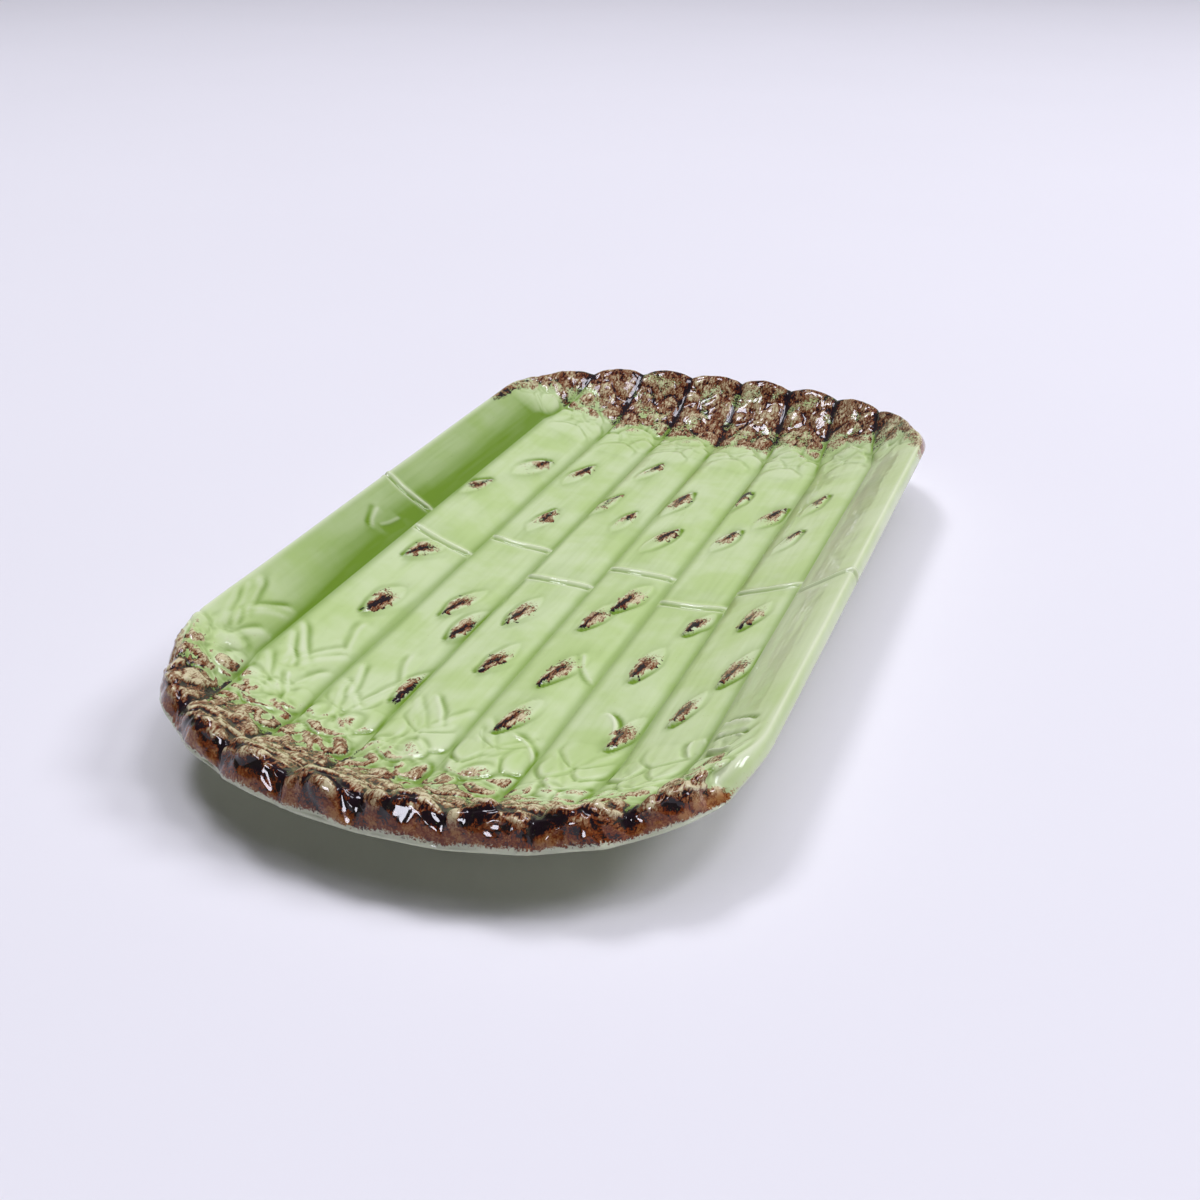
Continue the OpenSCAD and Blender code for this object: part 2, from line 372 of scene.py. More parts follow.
class Relief:
    """Relief of a spear: scales, buds and raised lines, with the hollows round them."""

    def __init__(self, across, along, seed):
        # Hand-pressed clay never keeps to a drawn line, so every shape is read through a small warp
        self.x = across + 0.6 * noise(across, along, 10, seed)
        self.q = along + 0.6 * noise(across, along, 10, seed + 9)
        self.lift, self.cut, self.brown, self.dark = [np.zeros_like(across) for _ in range(4)]

    def local(self, x0, q0, turn, reach):
        """Points near a place, as distances back from it and to the side of a turned axis."""
        near = (np.abs(self.q - q0) < reach) & (np.abs(self.x - x0) < reach)
        dx, dq = self.x[near] - x0, self.q[near] - q0
        c, n = math.cos(turn), math.sin(turn)
        return near, -(dq * c + dx * n), dx * c - dq * n

    def bract(self, x0, q0, length, width, turn, lift, cut=0.35, soft=1.9):
        """Pointed scale with its free point at x0, q0: hollow in the middle, with a raised lip."""
        near, back, side = self.local(x0, q0, turn, length + 3)
        share = np.clip(back / length, 0, 1)
        half = width / 2 * np.sin(np.pi / 2 * np.clip(share / 0.6, 0, 1)) ** 0.85
        inside = half - np.abs(side)
        body = lift * (1 - share) ** 0.7 * smooth(back, -0.4, soft) * smooth(inside, -0.4, soft)
        lip = 0.22 * lift * bell(inside - 0.9, 0.7) * (1 - share) * smooth(back, 0, 1)
        shape = body * (0.72 + 0.28 * smooth(-inside, -4, 0)) + lip
        self.lift[near] = np.maximum(self.lift[near], shape)
        fade = (1 - share) * (back < length) * smooth(back, -1.6, 0)
        self.cut[near] = np.maximum(self.cut[near], cut * bell(inside + 0.9, 0.9) * fade)

    def bud(self, x0, q0, length, width, turn, lift, paint=0.0):
        """Smooth oval bud that lies on what is there already."""
        near, back, side = self.local(x0, q0, turn, length)
        gone = (2 * back / length) ** 2 + (2 * side / width) ** 2
        dome = lift * np.clip(1 - gone, 0, 1) ** 1.1
        rim = 0.35 * lift * bell(np.sqrt(gone) - 1.2, 0.28)
        there = self.lift[near]
        self.lift[near] = np.where(dome > 0, np.maximum(there, dome + 0.45 * there), there)
        self.cut[near] = np.maximum(self.cut[near], rim)
        self.brown[near] = np.maximum(self.brown[near], paint * smooth(1 - gone, -0.3, 0.3))

    def mark(self, x0, q0, length, width, turn, lift, paint):
        """Small scale of a stalk with its point at x0, q0: brown, with a dark core and a faded broad end."""
        near, back, side = self.local(x0, q0, turn, length + 3)
        share = np.clip(back / length, 0, 1)
        half = width / 2 * np.sin(np.pi * share ** 1.2) ** 0.75
        inside = half - np.abs(side)
        shape = lift * smooth(inside, -0.5, 1.3) * (1 - share) ** 0.6 * smooth(back, -0.6, 1)
        self.lift[near] = np.maximum(self.lift[near], shape)
        beside = bell(inside + 1.1, 0.9) * (side > 0) * (1 - share) * smooth(back, -1.0, 1.5)
        self.cut[near] = np.maximum(self.cut[near], 0.6 * lift * beside)
        ragged = inside + 1.5 * noise(self.x[near], self.q[near], 1.9, 91)
        painted = smooth(ragged, -0.5, 1.2) * smooth(-share, -0.9, -0.4) * smooth(back, -0.3, 1.5)
        self.brown[near] = np.maximum(self.brown[near], paint * painted)
        bent = bell(side + 0.2 * width * (share - 0.3), 1.0)
        core = bent * smooth(back, -0.5, 0.8) * smooth(-share, -0.75, -0.3)
        self.dark[near] = np.maximum(self.dark[near], core)

    def ridge(self, x0, q0, x1, q1, bend, height, half_w=0.6):
        """Raised line from one place to another, bent sideways, with a hollow along one side."""
        dx, dq = x1 - x0, q1 - q0
        t = np.clip(((self.x - x0) * dx + (self.q - q0) * dq) / (dx ** 2 + dq ** 2), 0, 1)
        length = math.hypot(dx, dq)
        nx, nq = -dq / length, dx / length
        bow = bend * 4 * t * (1 - t)
        px, pq = x0 + t * dx + nx * bow, q0 + t * dq + nq * bow
        side = ((self.x - px) * nx + (self.q - pq) * nq) * (1 if bend > 0 else -1)
        gone = np.hypot(self.x - px, self.q - pq)
        ends = smooth(t, 0, 0.2) * smooth(1 - t, 0, 0.2)
        line = bell(gone, half_w) + np.where(side > 0, 0, 0.45 * bell(gone, 3.5) * (gone > 0))
        self.lift = np.maximum(self.lift, self.lift * 0.4 + height * np.minimum(line, 1) * ends)
        self.cut = np.maximum(self.cut, 0.75 * height * bell(side - 1.6, 1.1) * (gone < 4) * ends)


def blurred(field, rows, cols):
    """Field averaged over a window of rows and columns."""
    out = field
    for axis, half in ((0, rows), (1, cols)):
        pad = [(0, 0), (0, 0)]
        pad[axis] = (half + 1, half)
        total = np.cumsum(np.pad(out, pad, mode="reflect"), axis=axis)
        size = 2 * half + 1
        count = total.shape[axis]
        ahead, behind = [np.take(total, span, axis) for span in (range(size, count), range(count - size))]
        out = (ahead - behind) / size
    return out


# Fields that the glaze follows; the pooling and ridge fields also carry painted shade and painted light on
# the walls, and painted highlights at the cut ends
FIELDS = ("pool", "ridge", "brown", "cream", "rolled")
# Depth of the notches between the lobes, and of the hollow behind a cut end
LOBE_NOTCH_MM = 0.8
CUT_DEPTH_MM = 0.6
BRACT_PITCH_MM = 9
BRACT_STEP_MM = 1.5
# Relief fades out over this width beside a groove
MEETING_MM = 1.8
# Lean of the brown scales
SCALE_LEAN = math.radians(14)
# Place in plan of the brown bud on the right wall
WALL_BUD_MM = (89, 133)
# Where the brown glaze starts on each tip, from its start on the floor
NEAR_BROWN_MM = (5, 11, 13, 17, 21, 24, 26, 19)
FAR_BROWN_MM = (17, 20, 20, 19, 20, 21, 20, 16)
# Pairs of crossing lines on each near tip
NEAR_LINE_ROWS = (3, 3, 3, 2, 2, 1, 1, 1)
# Brown scales on the stalks: column, share across it and place along the dish
NEAR_SCALES = (
    (2, 0.31, -22), (2, 0.54, -63), (3, 0.42, -46), (3, 0.80, -61), (3, 0.85, -103), (4, 0.34, -44),
    (4, 0.56, -77), (5, 0.53, -20), (5, 0.28, -37), (5, 0.35, -77), (5, 0.30, -108), (6, 0.64, -28),
    (6, 0.40, -64), (6, 0.68, -105), (7, 0.41, -26), (7, 0.68, -68), (7, 0.30, -91),
)
FAR_SCALES = (
    (2, 0.78, 76), (2, 0.32, 39), (3, 0.55, 36), (3, 0.44, 87), (4, 0.48, 101), (4, 0.31, 62), (4, 0.74, 48),
    (5, 0.29, 76), (5, 0.55, 38), (6, 0.14, 87), (6, 0.45, 46), (6, 0.90, 73), (7, 0.54, 81), (7, 0.45, 44),
)
# Raised lines pressed into the near spears and the walls: column, start and end in plan, bend and height
LINES = (
    (6, 36.8, -94.4, 45.1, -109.4, -3.0, 0.7), (5, 15.9, -61, 27.2, -78.7, 2.0, 0.4),
    (5, 13.3, -115.4, 27.2, -130.2, -2.5, 0.55), (7, 72.3, -111, 75.7, -122, 1.6, 0.5),
    (7, 75.0, -110, 77.0, -120, -1.4, 0.45), (8, 80.5, -106, 92.5, -111, -1.2, 0.9),
    (8, 80.5, -111, 92.5, -115, 1.2, 0.9), (8, 80.5, -115, 92.5, -120, -1.2, 0.9),
    (8, 80.5, -120, 91, -125, 1.2, 0.9), (6, 55.1, -138.7, 64.1, -123.5, 1.5, 0.5),
    (1, -78.5, -124.6, -79.5, -107.2, 1.5, 0.5), (2, -72.8, -107.3, -65.5, -117.2, -1.5, 0.6),
    (2, -65.5, -117.2, -56, -134, 1.5, 0.6), (3, -43.3, -126.3, -30, -139, 1.5, 0.5),
    (1, -90, -16, -85, -30, 1.0, 0.35), (1, -83, -12, -85, -26, -0.6, 0.3),
    (2, -60, -76, -55.5, -98, 1.5, 0.35), (3, -38, -84, -31, -104, 1.5, 0.3),
    (4, -20, -104, -8, -124, -2.0, 0.45),
)


def pressed(col, base):
    """Shapes pressed into one spear: its scales, raised lines, bracts and buds."""
    far, flip, start = col.far, col.flip, col.brown_mm
    relief = Relief(base["across"], base["along"], 200 + col.number)
    draw = np.random.default_rng(100 * col.number + 50 * far)
    half_w = float(base["width"].flat[0]) / 2
    middle = (col.a + col.b) / 2
    length = base["tip_length"]
    for column, share, y in FAR_SCALES if far else NEAR_SCALES:
        if column == col.number:
            place = (share - 0.5) * 2 * half_w * flip
            turn = SCALE_LEAN * flip * col.end + draw.uniform(-0.12, 0.12)
            tip = col.end * y - STRAIGHT_MM + (5 if far else 7)
            size = draw.uniform(0.85, 1.1)
            relief.bract(place, tip + 5, length=30, width=11, turn=turn, lift=0.07 if far else 0.12,
                         cut=0.02 if far else 0.06, soft=3.0)
            relief.mark(place, tip + 4, length=27 * size, width=7.4 * size, turn=turn, lift=0.9,
                        paint=draw.uniform(0.85, 1.0))
    for column, x0, y0, x1, y1, bend, height in LINES:
        if column == col.number and not far:
            relief.ridge(flip * x0 - middle, -y0 - STRAIGHT_MM, flip * x1 - middle, -y1 - STRAIGHT_MM,
                         bend=bend * flip, height=height)
    if col.number == COLUMNS and not far:
        relief.bud(WALL_BUD_MM[0] - middle, WALL_BUD_MM[1] - STRAIGHT_MM, length=12, width=6.5, turn=0.3,
                   lift=1.3, paint=1.0)
    # Crossing raised lines where the head of the spear begins
    faint = 0.5 if far else 1 if col.number < 4 else 0.6
    for row in range(1 if far else NEAR_LINE_ROWS[col.number - 1]):
        for side in (-1, 1):
            q0 = start + draw.uniform(-3, 3) - 7 * row
            x0 = side * half_w * draw.uniform(0.75, 0.95)
            x1 = -side * half_w * draw.uniform(-0.3, 0.4)
            run = draw.uniform(17, 28) * (0.5 if far else 1)
            relief.ridge(x0, q0 - run, x1, q0, bend=side * draw.uniform(0.3, 1.4),
                         height=draw.uniform(0.3, 0.45) * faint, half_w=draw.uniform(1.0, 1.4))
    # Overlapping bracts of the head, one in the middle of a row and then two side by side
    rows = max(round(length / BRACT_PITCH_MM), 1)
    for row in range(rows):
        grown = min(1, 0.35 + 0.65 * row / rows / 0.3)
        tip = (row + 0.95) * length / rows
        lift = BRACT_STEP_MM * grown * (0.75 if tip < start + 2 else 1.0)
        for share in (-0.5, 0.5) if row % 2 else (0.0,):
            x0, q0 = share * half_w + draw.uniform(-1, 1), tip + draw.uniform(-1, 1)
            relief.bract(x0, q0, length=14, width=half_w * (0.92 if row % 2 else 1.3),
                         turn=draw.uniform(-0.3, 0.3) - 0.3 * share, lift=lift, cut=0.2 if far else 0.35,
                         soft=2.8 if far else 2.1)
    # Small oval buds between and on them, up to the rolled edge
    tip, row = start + 2.0, 0
    while tip < length + (0 if far else 11):
        for share in (-0.62, 0.5) if row % 2 else (-0.1, 0.78):
            size = draw.uniform(0.8, 1.3)
            x0, q0 = share * half_w + draw.uniform(-2, 2), tip + draw.uniform(-2, 2)
            relief.bud(x0, q0, length=12 * size, width=7.8 * size,
                       turn=draw.choice([-1, 1]) * draw.uniform(0.2, 1.1),
                       lift=draw.uniform(0.8, 1.3) * (0.7 if far else 1))
        tip += draw.uniform(7.2, 9.0)
        row += 1
    return relief


def creases(x, y, size, seed, steep):
    """Winding ridges of the given size, with flat ground between them."""
    return np.clip(1 - steep * np.abs(noise(x, y, size, seed, octaves=1)), 0, 1) ** 1.2 - 0.35


def carve(col, base):
    """Relief of one spear: its height over the smooth form, and how brown, deep and thin its glaze is."""
    q, u, depth, width, seam = [base[name] for name in ("along", "u", "depth", "width", "seam")]
    far, start, length = col.far, col.brown_mm, base["tip_length"]
    relief = pressed(col, base)
    xs, ys = base["top"][..., 0] * col.flip, base["top"][..., 1] * col.end
    head = smooth(q, start - 4, start + 10)
    rolled = smooth(depth, 0.0, 0.35) if far else smooth(depth, 0.1, 0.75)
    # The rolled edge is steep, so its own length counts there and not its plan
    unrolled = ys + ROLL_LENGTH_MM * depth * col.end
    warp_x = xs + 2.5 * noise(xs, ys, size=9, seed=71)
    warp_y = unrolled + 2.5 * noise(xs, ys, size=9, seed=72)
    swirls = creases(warp_x, warp_y, size=11, seed=7, steep=1.5)
    curls = creases(warp_x, warp_y, size=5.5, seed=17, steep=1.9)
    ripple = 0.7 * noise(xs / 6, ys / 30, size=1.0, seed=21)
    ripple = ripple + 0.35 * noise(xs / 1.8, ys / 26, size=1.0, seed=23)
    lumps = noise(xs, unrolled, size=9, seed=33)
    skin = 0.5 * swirls + 0.4 * curls
    if far:
        relief.lift *= 1 - 0.85 * smooth(q, length - 12, length - 1)
        skin = 0.4 * noise(xs, ys, size=8, seed=44)
    height = (relief.lift - relief.cut) * (1 - rolled)
    if far:
        height = height * (1 - 0.3 * head)
    height = height + head * (1 - 0.8 * rolled) * skin + 0.1 * ripple
    height = height + head * rolled * (0.9 * lumps + 0.2 * curls)
    # Nothing is lifted in a groove between two spears, because both sides have to meet there
    window = smooth(u * width, 0, MEETING_MM)
    if not col.outer:
        window = window * smooth((1 - u) * width, 0, MEETING_MM)
    window = window * smooth(1 - depth, 0.03, 0.25)
    height = height - CUT_DEPTH_MM * bell(seam, CUT_WIDTH_MM)
    height = (height + (0.45 if far else 0.25) * bell(seam - LIP_MM, CUT_WIDTH_MM)) * window
    # The glaze turns brown on what stands up first, and the hollows stay green for a while
    valley = 1 - smooth(height - blurred(height, 9, 7), -0.35, 0.45)
    later = 9 if far else 24 * (1 - 0.6 * smooth(q, length - 16, length - 2))
    # On a far wall it starts sooner along the rim
    sooner = (34 if col.mirror else 26) * smooth(u, 0.5, 0.95) * (far and col.outer)
    edge = start - sooner + 5 * noise(xs, ys, size=8, seed=55) + later * valley * (1 - rolled)
    brown = np.maximum(relief.brown * window, smooth(q, edge - 9, edge + 9))
    if far:
        patches = smooth(noise(xs, ys, size=6, seed=61), 0.0, 0.6)
        brown = brown - 0.42 * patches * (1 - smooth(q, length - 6, length))
    thin = smooth(length - q, -1, 6) * head
    # It lies deepest in broken streaks behind the crest, and in the cores of the scales
    crest = bell(q - length - 6, 5) * (0.5 + 1.3 * noise(xs, unrolled, size=4, seed=88))
    deep = np.clip(crest, 0, 1) * (0.35 if col.outer else 0.5) + relief.dark * window
    return height, brown, deep, thin


def surface_normals(points):
    """Unit normals of a grid of points."""
    down, over = np.gradient(points, axis=0), np.gradient(points, axis=1)
    n = np.cross(over, down)
    n /= np.maximum(np.linalg.norm(n, axis=-1), 1e-9)[..., None]
    middle = n[n.shape[0] // 3, n.shape[1] // 3]
    return n if middle[2] > 0 else -n


def spear_form(column, end, dish):
    """Finished points of a spear in millimetres, and the fields that its glaze follows."""
    col = Column(column, end, dish.stalk_crown / MM, dish.tip_crown / MM * (0.5 if end > 0 else 1.0))
    base = spear_base(col, (dish.flats_across, WALL_FLATS, dish.stalk_rows, dish.tip_rows, ROLL_ROWS))
    u, depth, width, along, seam = [base[name] for name in ("u", "depth", "width", "along", "seam")]
    # The crest of the rolled edge is worn round
    rows = np.arange(len(u))[:, None, None]
    worn = np.dstack([blurred(base["top"][..., k], 10, 0) for k in range(3)])
    base["top"] = mix(base["top"], worn, bell(rows - base["split"] - dish.tip_rows, 16))
    height, brown, deep, thin = carve(col, base)
    top = base["top"] + surface_normals(base["top"]) * height[..., None]
    # The lobes of the rolled edge part in deeper notches than the smooth form has
    groove = np.minimum(u, 1.0 if col.outer else 1 - u) * width
    rolled = smooth(depth, 0.1, 0.6)
    parting = bell(groove, 3.2) * smooth(base["s"], 0.7, 1.0) * (1 - 0.7 * rolled)
    top[..., 2] -= LOBE_NOTCH_MM * (0.3 if col.far else 1.0) * parting * smooth(1 - depth, 0.03, 0.3)
    # The cut ends are bowed a little in plan
    top[..., 1] -= end * (2.2 * (1 - (2 * u - 1) ** 2) * bell(seam, 9))

    # Glaze pools in the grooves and in hollows and thins on ridges. The left wall is darker, partly from
    # pooled glaze and partly as painted shade, and the right wall is made paler as painted light
    hollow = 0.6 * (blurred(height, 4, 3) - height) + 0.6 * (blurred(height, 10, 8) - height)
    reach = smooth(-along, -12, 6) * (1 if col.far else mix(0.18, 1.0, smooth(-along, 0, 80)))
    # Shading painted on the walls, strongest low on a wall and weaker towards the near end
    painted_wall_shading = (0.35 + 0.45 * smooth(1 - u, 0.3, 1.0)) * reach * col.outer
    pool = (0.6 - 0.5 * rolled) * bell(groove, 2.0)
    pool = pool + (1.7 - 0.4 * brown - 0.9 * rolled) * np.clip(hollow, 0, 1)
    pool = pool + 0.35 * parting * smooth(depth, 0, 0.25)
    ridge = np.clip(np.clip(-1.2 * hollow, 0, 1) + 0.04 * thin, 0, 1)
    # The left wall takes painted shade along with its pooled glaze, and the right wall takes painted light
    if col.mirror:
        pool = pool + 1.35 * painted_wall_shading
    else:
        ridge = np.maximum(ridge, 0.75 * painted_wall_shading)
    pool = np.clip(pool * (1 - 0.5 * bell(seam, 1.5)) + deep, 0, 1)
    if col.outer:
        on_edge = bell(base["across"] - width / 2 - 0.5, 1.6)
        ridge = np.maximum(ridge, 0.7 * on_edge * (u > 0.5))
    # Painted highlight: the raised lip behind a cut end is drawn pale, strongly on the far stalks, whose lips
    # catch the light, and faintly on the near ones
    ridge = np.maximum(ridge, (0.6 if col.far else 0.1) * bell(seam - LIP_MM, CUT_WIDTH_MM))
    # Brown keeps more of its depth on ridges than green does
    full = 1.0 if col.far else smooth(base["tip_length"] - along, 4, 12)
    ridge = ridge * (1 - 0.4 * np.clip(brown, 0, 1) * (1 - rolled) * full)
    # On the rolled edge it thins out again low down
    ridge = ridge * (1 - 0.6 * rolled * (end < 0)) + 0.3 * smooth(depth, 0.3, 0.6) * rolled

    # Nothing may stand out of the box of the solids
    low, high = [np.array(corner) / MM for corner in CAD_BOX]
    top, under = [np.clip(points * (col.flip, end, 1), low, high) for points in (top, base["under"])]
    return dict(top=top, under=under, split=base["split"], pool=pool, ridge=np.clip(ridge, 0, 1), brown=brown,
                cream=smooth(depth, 0.5, 0.82), rolled=smooth(depth, 0.15, 0.5))


def placed(name, data):
    """New object in the scene."""
    made = bpy.data.objects.new(name, data)
    bpy.context.scene.collection.objects.link(made)
    return made


def meshed(name, bm):
    """New object with the mesh of bm, which it frees."""
    mesh = bpy.data.meshes.new(name)
    bm.to_mesh(mesh)
    bm.free()
    return placed(name, mesh)


def set_field(piece, field, values):
    """Gives every point of a piece its value of a field."""
    piece.data.attributes.new(field, "FLOAT", "POINT").data.foreach_set("value", values)


def clay_tile(name, form, rows):
    """Closed shell of clay over some rows of a spear's grid."""
    top, under = form["top"][rows], form["under"][rows]
    nj, ni = top.shape[0] - 1, top.shape[1] - 1
    bm = bmesh.new()
    bmesh.ops.create_grid(bm, x_segments=ni, y_segments=nj, size=0.5)
    made = bmesh.ops.extrude_face_region(bm, geom=bm.faces[:])
    lowered = [v for v in made["geom"] if isinstance(v, bmesh.types.BMVert)]
    bmesh.ops.translate(bm, verts=lowered, vec=(0, 0, -1))
    place = np.array([v.co for v in bm.verts])
    i = np.rint((place[:, 0] + 0.5) * ni).astype(int)
    j = np.rint((place[:, 1] + 0.5) * nj).astype(int)
    below = place[:, 2] < -0.5
    where = np.where(below[:, None], under[j, i], top[j, i]) * MM
    for v, co in zip(bm.verts, where.tolist()):
        v.co = co
    for face in bm.faces:
        face.smooth = True
    # An edge is sharp where the top or the underside meets a side of the shell
    for edge in bm.edges:
        a, b = edge.verts
        if below[a.index] != below[b.index]:
            continue
        kinds = {sum(bool(below[v.index]) for v in f.verts) for f in edge.link_faces}
        edge.smooth = len(kinds) == 1
    bmesh.ops.recalc_face_normals(bm, faces=bm.faces[:])
    if any(not e.is_manifold for e in bm.edges):
        raise RuntimeError(name + " isn't a closed shell")
    piece = meshed(name, bm)
    for field in FIELDS:
        values = np.where(below, 1.0 if field == "cream" else 0.0, form[field][rows][j, i])
        set_field(piece, field, values.astype(np.float32))
    return piece


_forms = {}


def form_of(column, end, dish):
    """Form of one spear, worked out once for its stalk and its tip."""
    key = (column, end)
    if key not in _forms:
        _forms[key] = spear_form(column, end, dish)
    return _forms[key]


# Finishes. Settings of nodes that mix colours, that step smoothly from 0 to 1, and that scale and add
COLOURS = {"data_type": "RGBA"}
STEP = {"interpolation_type": "SMOOTHSTEP"}
SCALED = {"operation": "MULTIPLY_ADD"}
# Waves to a metre along each axis, in the green's streaks and in the brown's grain
STREAK_SCALE = (260.0, 16.0, 60.0)
GRAIN_SCALE = (1300.0, 300.0, 800.0)


def add(tree, kind, inputs=(), **settings):
    """Adds a node with its settings, and gives each input a value or a link."""
    node = tree.nodes.new("ShaderNode" + kind)
    for name, value in settings.items():
        setattr(node, name, value)
    for key, value in dict(inputs).items():
        if isinstance(value, bpy.types.NodeSocket):
            tree.links.new(value, node.inputs[key])
        else:
            node.inputs[key].default_value = value
    return node


def new_material(name):
    """Empty material, with its tree of nodes and its output."""
    material = bpy.data.materials.new(name)
    material.use_nodes = True
    tree = material.node_tree
    tree.nodes.clear()
    out = add(tree, "OutputMaterial")
    return material, tree, out


def lead_glaze(name, glaze):
    """Coloured lead glaze over a white body: glassy, darker where it pools and pale on ridges."""
    material, tree, out = new_material(name)
    at = add(tree, "TexCoord").outputs["Object"]
    pool, ridge, brown, cream, rolled = [
        add(tree, "Attribute", attribute_name=field).outputs["Fac"] for field in FIELDS]
    streak_at, grain_at = [
        add(tree, "Mapping", {0: at, 3: scale}).outputs[0] for scale in (STREAK_SCALE, GRAIN_SCALE)]
    cloud, streak, speck, patch, grain, curl, wave = [
        add(tree, "TexNoise", {"Vector": way, "Scale": scale, "Detail": detail, "Roughness": rough,
                               "Distortion": bend}).outputs[0]
        for way, scale, detail, rough, bend in (
            (at, 45.0, 3.0, 0.5, 0.0), (streak_at, 1.0, 3.0, 0.5, 0.0), (at, 1200.0, 3.0, 0.65, 0.0),
            (at, 140.0, 4.0, 0.5, 1.5), (grain_at, 1.0, 2.0, 0.5, 0.8), (at, 200.0, 2.0, 0.5, 2.5),
            (at, 160.0, 2.0, 0.5, 0.0))]

    # Green: cloudy, streaked, deep in hollows and thin on ridges, and through the same fields painted shade
    # on the left wall, painted light on the right wall and painted highlights on the lips of the cut ends
    clouded = add(tree, "MapRange", {0: cloud, 1: 0.35, 2: 0.68}, **STEP).outputs[0]
    streaked = add(tree, "MapRange", {0: streak, 1: 0.5, 2: 1.0}, **STEP).outputs[0]
    green = glaze.green_pale[:]
    for share, tone in ((clouded, glaze.green), (streaked, glaze.green), (pool, glaze.green_pool),
                        (ridge, glaze.green_thin)):
        green = add(tree, "Mix", {0: share, 6: green, 7: tone[:]}, **COLOURS).outputs[2]

    # Level of the brown glaze, broken by broad patches, a fine grain and clear winding lines
    deep = add(tree, "Math", {0: pool, 1: ridge}, operation="SUBTRACT").outputs[0]
    broad = add(tree, "Math", {0: patch, 1: 1.2, 2: -0.1}, **SCALED).outputs[0]
    level = add(tree, "Math", {0: deep, 1: -0.75, 2: broad}, **SCALED).outputs[0]
    grain = add(tree, "Mix", {0: rolled, 2: grain, 3: speck}).outputs[0]
    fine = add(tree, "Math", {0: grain, 1: 1.6, 2: -0.8}, **SCALED).outputs[0]
    level = add(tree, "Math", {0: level, 1: fine}, operation="ADD").outputs[0]
    curl = add(tree, "Math", {0: curl, 1: 0.5}, operation="SUBTRACT").outputs[0]
    curl = add(tree, "Math", {0: curl}, operation="ABSOLUTE").outputs[0]
    clear = add(tree, "MapRange", {0: curl, 1: 0.0, 2: 0.045}, **STEP).outputs[0]
    level = add(tree, "Math", {0: clear, 1: 0.3, 2: level}, **SCALED).outputs[0]
    level = add(tree, "Math", {0: level, 1: 0.22}, operation="SUBTRACT").outputs[0]

    # Brown: near black where it lies deep, amber between, and tan over ridges
    thin = add(tree, "Mix", {0: rolled, 6: glaze.brown_thin[:], 7: glaze.ochre[:]}, **COLOURS).outputs[2]
    middle = add(tree, "Mix", {0: rolled, 6: glaze.umber[:], 7: glaze.amber[:]}, **COLOURS).outputs[2]
    umber = glaze.brown_pool[:]
    for low, high, tone in ((0.24, 0.42, glaze.brown[:]), (0.40, 0.56, middle), (0.54, 1.0, thin)):
        share = add(tree, "MapRange", {0: level, 1: low, 2: high}, **STEP).outputs[0]
        umber = add(tree, "Mix", {0: share, 6: umber, 7: tone}, **COLOURS).outputs[2]
    ragged = add(tree, "Math", {0: speck, 1: 2.0, 2: brown}, **SCALED).outputs[0]
    mask = add(tree, "MapRange", {0: ragged, 1: 1.36, 2: 1.66}, **STEP).outputs[0]
    glazed = add(tree, "Mix", {0: mask, 6: green, 7: umber}, **COLOURS).outputs[2]

    # Clear glaze underneath, where the white body shows
    bare = add(tree, "Math", {0: speck, 1: 1.6, 2: cream}, **SCALED).outputs[0]
    bare = add(tree, "MapRange", {0: bare, 1: 1.22, 2: 1.52}, **STEP).outputs[0]
    glazed = add(tree, "Mix", {0: bare, 6: glazed, 7: glaze.cream[:]}, **COLOURS).outputs[2]

    bump = add(tree, "Bump", {"Height": wave, "Strength": 0.25, "Distance": 0.0004}).outputs[0]
    glassy = {"Base Color": glazed, "Normal": bump, "Roughness": 0.06, "IOR": 1.43}
    shader = add(tree, "BsdfPrincipled", glassy)
    tree.links.new(shader.outputs[0], out.inputs[0])
    return material


def finish_piece(piece, node, material):
    """Gives a piece its glaze and its place in the table."""
    piece.data.materials.append(material)
    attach(piece, "root")
    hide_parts(node)


# Settings


def distance(name, text, default, high):
    return FloatProperty(name=name, description=text, default=default, min=0, max=high, subtype="DISTANCE",
                         unit="LENGTH")


def flats(name, text, default, low, high):
    return IntProperty(name=name, description=text, default=default, min=low, max=high)


def colour(name, text, hex_colour):
    return FloatVectorProperty(name=name, description=text, default=linear(hex_colour), size=4, min=0, max=1,
                               subtype="COLOR")


def power(name, text, default):
    return FloatProperty(name=name, description=text, default=default, min=0, max=500, subtype="POWER")


def portion(name, text, default):
    return FloatProperty(name=name, description=text, default=default, min=0, max=1)


class DishSettings(bpy.types.PropertyGroup):
    stalk_crown: distance("Stalk back", "Height of a stalk's back above its grooves", 1.8 * MM, 4 * MM)
    tip_crown: distance("Tip back", "Height of a tip's back above its grooves", 2.6 * MM, 5 * MM)
    flats_across: flats("Flats across", "Flats across one spear", 64, 16, 96)
    stalk_rows: flats("Stalk rows", "Flats along one stalk", 96, 16, 200)
    tip_rows: flats("Tip rows", "Flats along one tip", 150, 32, 240)


class GlazeSettings(bpy.types.PropertyGroup):
    green: colour("Green", "Green glaze", "#BBD18B")
    green_pale: colour("Pale green", "Green glaze where it is thinner", "#CBDBA6")
    # Pooled green also carries the painted shade on the left wall, and thin green carries the painted light
    # on the right wall and the painted highlights on the lips of the cut ends
    green_pool: colour("Pooled green", "Green glaze in grooves and hollows", "#6D8E2A")
    green_thin: colour("Thin green", "Green glaze drawn thin over ridges", "#E4EAC9")
    brown: colour("Brown", "Manganese brown glaze", "#70300F")
    brown_pool: colour("Pooled brown", "Brown glaze in hollows, near black", "#20151A")
    brown_thin: colour("Thin brown", "Brown glaze drawn thin over ridges", "#D3C9A0")
    umber: colour("Umber", "Brown glaze on the bracts", "#8A6546")
    amber: colour("Amber", "Brown glaze on the rolled edge", "#7C3A16")
    ochre: colour("Ochre", "Brown glaze drawn thin over the rolled edge", "#A5713F")
    cream: colour("Cream", "Clear glaze over the white body", "#CED3B8")


